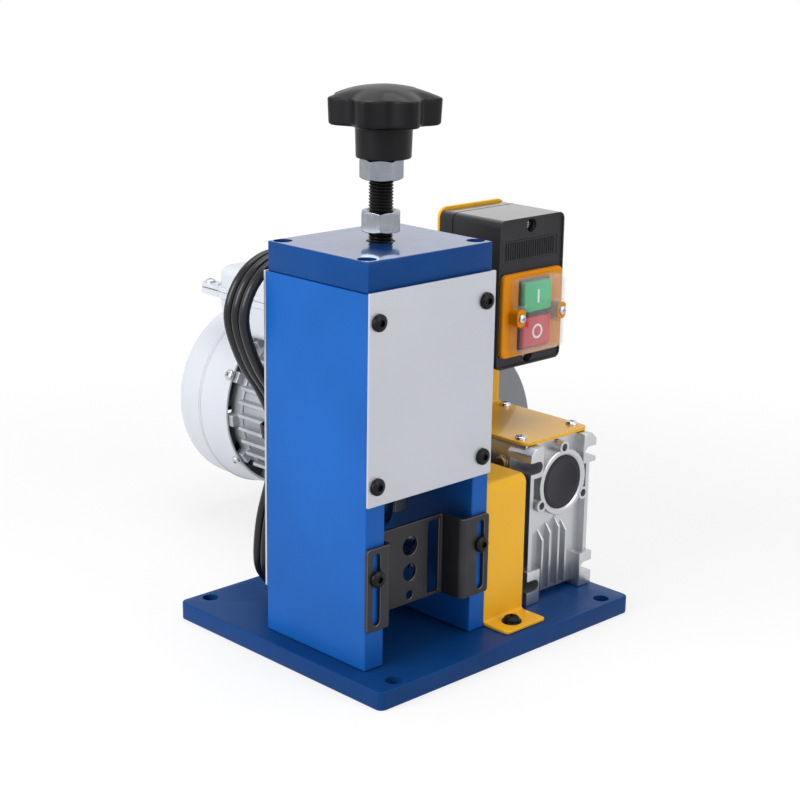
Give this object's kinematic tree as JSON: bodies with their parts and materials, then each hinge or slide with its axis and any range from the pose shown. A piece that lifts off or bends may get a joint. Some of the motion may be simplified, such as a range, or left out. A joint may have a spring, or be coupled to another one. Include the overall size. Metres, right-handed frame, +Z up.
{
  "type": "wire stripping machine",
  "caption": "Bench wire stripper: column with a hand-screwed round blade over a driven roller, worm-geared motor, switch and guard.",
  "frame": {"origin": "centre of the base plate's underside", "axes": "+Z up, -Y towards the feed side, +X towards the reducer and motor"},
  "size_m": [0.2827, 0.3768, 0.3714],
  "materials": {
    "blue_paint": "glossy blue enamel with a light orange peel",
    "yellow_paint": "glossy yellow powder coat",
    "cover_aluminium": "light brushed sheet",
    "cast_aluminium": "satin casting",
    "machined_steel": "turned and ground",
    "zinc": "bright zinc plating",
    "black_steel": "black oxide, satin",
    "black_plastic": "satin black",
    "charcoal_plastic": "satin charcoal",
    "grey_paint": "satin grey",
    "pale_paint": "satin pale grey",
    "cord_rubber": "glossy black sheath",
    "green_plastic": "gloss",
    "red_plastic": "gloss",
    "clear_plastic": "clear soft plastic",
    "bronze": "machined",
    "laminated_steel": "dull laminations"
  },
  "bodies": {
    "frame": {"base_plate": "blue_paint", "left_side_plate": "blue_paint", "right_side_plate": "blue_paint", "top_plate": "blue_paint", "front_cover_plate": "cover_aluminium", "rear_cover_plate": "cover_aluminium", "left_guide_screw": "black_steel", "right_guide_screw": "black_steel", "left_carriage_rail": "machined_steel", "right_carriage_rail": "machined_steel", "left_shaft_bearing": "machined_steel", "right_shaft_bearing": "machined_steel", "reducer_housing": "cast_aluminium", "reducer_left_cover": "cast_aluminium", "reducer_right_cover": "cast_aluminium", "reducer_end_cap": "charcoal_plastic", "oil_plug": "bronze", "front_worm_bearing": "machined_steel", "rear_worm_bearing": "machined_steel", "left_wheel_bearing": "machined_steel", "right_wheel_bearing": "machined_steel", "motor_flange": "grey_paint", "motor_body": "cast_aluminium", "motor_stator": "laminated_steel", "front_motor_bearing": "machined_steel", "rear_motor_bearing": "machined_steel", "motor_end_shield": "cast_aluminium", "fan_cover": "pale_paint", "terminal_box": "pale_paint", "terminal_box_lid": "pale_paint", "run_capacitor": "pale_paint", "shaft_guard": "yellow_paint", "switch_bracket": "yellow_paint", "switch_box": "charcoal_plastic", "switch_plate": "yellow_paint", "switch_module": "black_plastic", "clear_cover": "clear_plastic", "cord_gland": "black_plastic", "power_cord_run": "cord_rubber", "power_cord_hank": "cord_rubber", "cord_tie": "black_plastic", "power_plug": "black_plastic"},
    "carriage": {"blade_carriage": "machined_steel", "carriage_cap": "machined_steel", "blade_axle": "machined_steel"},
    "blade": {"blade_wheel": "machined_steel"},
    "knob": {"pressure_screw": "black_steel", "knob_nut": "zinc", "star_knob": "black_plastic"},
    "lock_nut": {"lock_nut": "zinc"},
    "guide": {"feed_guide": "black_steel"},
    "motor_spindle": {"motor_rotor": "laminated_steel", "motor_shaft": "machined_steel", "worm_shaft": "machined_steel", "cooling_fan": "black_plastic"},
    "drive": {"drive_shaft": "machined_steel", "drive_roller": "machined_steel", "worm_wheel": "bronze"},
    "start_button": {"start_button": "green_plastic"},
    "stop_button": {"stop_button": "red_plastic"}
  },
  "joints": [
    {"name": "carriage_slide", "type": "slide", "parent": "frame", "child": "carriage", "axis": [0, 0, 1], "range_m": [-0.006, 0.016]},
    {"name": "knob_turn", "type": "hinge", "parent": "carriage", "child": "knob", "pos_m": [-0.0515, -0.02375, 0.3], "axis": [0, 0, 1], "range_deg": [-1081, 2881]},
    {"name": "lock_nut_slide", "type": "slide", "parent": "knob", "child": "lock_nut", "axis": [0, 0, 1], "range_m": [0, 0.018]},
    {"name": "blade_spin", "type": "hinge", "parent": "carriage", "child": "blade", "pos_m": [-0.0515, -0.0165, 0.1026], "axis": [1, 0, 0], "continuous": true},
    {"name": "guide_slide", "type": "slide", "parent": "frame", "child": "guide", "axis": [0, 0, 1], "range_m": [-0.011, 0.025]},
    {"name": "motor_spin", "type": "hinge", "parent": "frame", "child": "motor_spindle", "pos_m": [0.0837, -0.0165, 0.0956], "axis": [0, 1, 0], "continuous": true},
    {"name": "drive_spin", "type": "hinge", "parent": "frame", "child": "drive", "pos_m": [0.0837, -0.0165, 0.0556], "axis": [1, 0, 0], "continuous": true},
    {"name": "start_button_press", "type": "slide", "parent": "frame", "child": "start_button", "axis": [0, 1, 0], "range_m": [0, 0.0035], "stiffness_N_per_m": 500, "springref_m": -0.002},
    {"name": "stop_button_press", "type": "slide", "parent": "frame", "child": "stop_button", "axis": [0, 1, 0], "range_m": [0, 0.0035], "stiffness_N_per_m": 500, "springref_m": -0.002}
  ],
  "couplings": [
    {"joint": "knob_turn", "follows": "carriage_slide", "rad_per_m": 3141.6},
    {"joint": "drive_spin", "follows": "motor_spin", "ratio": 0.033333}
  ]
}
